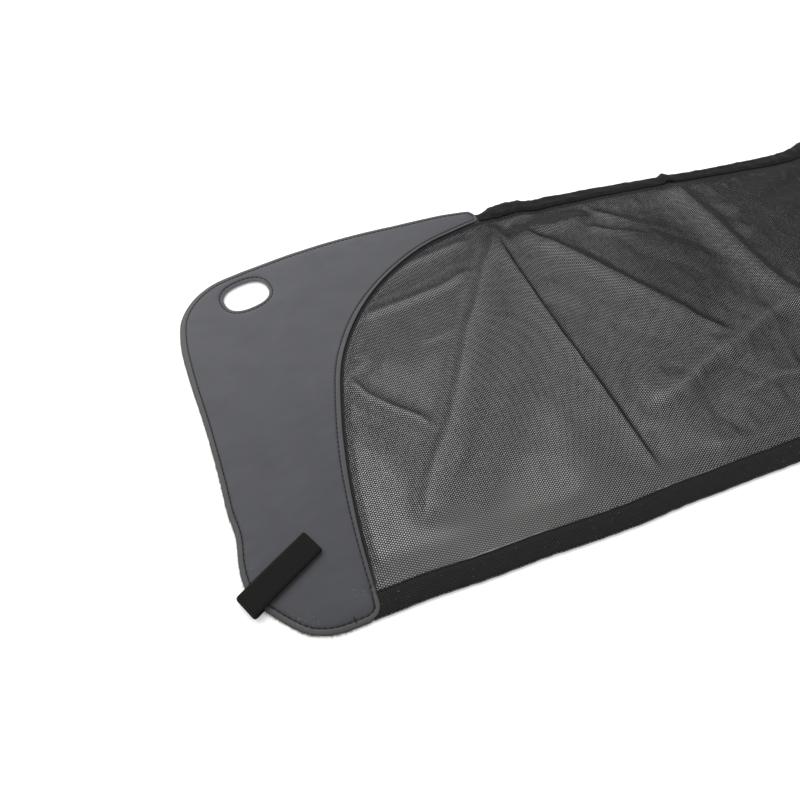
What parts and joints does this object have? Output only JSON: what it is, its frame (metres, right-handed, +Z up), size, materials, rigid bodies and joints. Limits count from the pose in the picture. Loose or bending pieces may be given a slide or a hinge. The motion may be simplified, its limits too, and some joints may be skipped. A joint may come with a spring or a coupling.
{
  "type": "wind deflector screen",
  "caption": "Flat net wind screen with a curved leatherette sleeve at each end, oval windows, hemmed edges and elastic corner straps; folds for storage.",
  "frame": {"origin": "on the floor under the middle fold, half-way across the screen", "axes": "+X along the screen from the left sleeve to the right one, +Y towards the top hem, +Z up out of the front face"},
  "size_m": [1.1046, 0.375, 0.0074],
  "materials": {
    "leatherette": "fine-grained charcoal leatherette, satin",
    "knit_backing": "matt knit backing with a raw edge",
    "net": "black knitted net with open hexagonal holes",
    "hem_fabric": "black net folded over and stitched",
    "hem_elastic": "flat black elastic inside the top hem",
    "hem_tape": "woven black tape inside the bottom hem",
    "thread": "black polyester thread, lockstitch",
    "elastic": "black ribbed elastic webbing"
  },
  "bodies": {
    "left_end": {"left_front_ply": "leatherette", "left_back_ply": "knit_backing", "left_outer_seam": "thread", "left_net_edge_seam": "thread", "left_window_seam": "thread", "left_hem_bartack": "thread", "left_strap_root": "elastic", "left_end_net": "net", "left_end_top_hem": "hem_fabric", "left_end_bottom_hem": "hem_fabric", "left_end_top_elastic": "hem_elastic", "left_end_bottom_tape": "hem_tape", "left_end_top_hem_seam": "thread", "left_end_bottom_hem_seam": "thread"},
    "mid_left": {"mid_left_net": "net", "mid_left_top_hem": "hem_fabric", "mid_left_bottom_hem": "hem_fabric", "mid_left_top_elastic": "hem_elastic", "mid_left_bottom_tape": "hem_tape", "mid_left_top_hem_seam": "thread", "mid_left_bottom_hem_seam": "thread"},
    "mid_right": {"mid_right_net": "net", "mid_right_top_hem": "hem_fabric", "mid_right_bottom_hem": "hem_fabric", "mid_right_top_elastic": "hem_elastic", "mid_right_bottom_tape": "hem_tape", "mid_right_top_hem_seam": "thread", "mid_right_bottom_hem_seam": "thread"},
    "right_end": {"right_front_ply": "leatherette", "right_back_ply": "knit_backing", "right_outer_seam": "thread", "right_net_edge_seam": "thread", "right_window_seam": "thread", "right_hem_bartack": "thread", "right_strap_root": "elastic", "right_end_net": "net", "right_end_top_hem": "hem_fabric", "right_end_bottom_hem": "hem_fabric", "right_end_top_elastic": "hem_elastic", "right_end_bottom_tape": "hem_tape", "right_end_top_hem_seam": "thread", "right_end_bottom_hem_seam": "thread"},
    "left_strap": {"left_strap_loop": "elastic"},
    "right_strap": {"right_strap_loop": "elastic"}
  },
  "joints": [
    {"name": "left_fold", "type": "hinge", "parent": "left_end", "child": "mid_left", "pos_m": [-0.207, 0, 0.018], "axis": [0, -1, 0], "range_deg": [0, 179.9]},
    {"name": "middle_fold", "type": "hinge", "parent": "mid_left", "child": "mid_right", "pos_m": [0, 0, 0.009], "axis": [0, -1, 0], "range_deg": [0, 179.9]},
    {"name": "right_fold", "type": "hinge", "parent": "mid_right", "child": "right_end", "pos_m": [0.207, 0, -0.0005], "axis": [0, -1, 0], "range_deg": [-179.9, 0]},
    {"name": "left_strap_turn", "type": "hinge", "parent": "left_end", "child": "left_strap", "pos_m": [-0.54, -0.152, 0.0043], "axis": [0.4695, -0.8829, 0], "range_deg": [0, 179.9]},
    {"name": "right_strap_turn", "type": "hinge", "parent": "right_end", "child": "right_strap", "pos_m": [0.54, -0.152, 0.0043], "axis": [0.4695, 0.8829, 0], "range_deg": [0, 179.9]}
  ],
  "couplings": [
    {"joint": "right_fold", "follows": "left_fold", "ratio": -1}
  ]
}
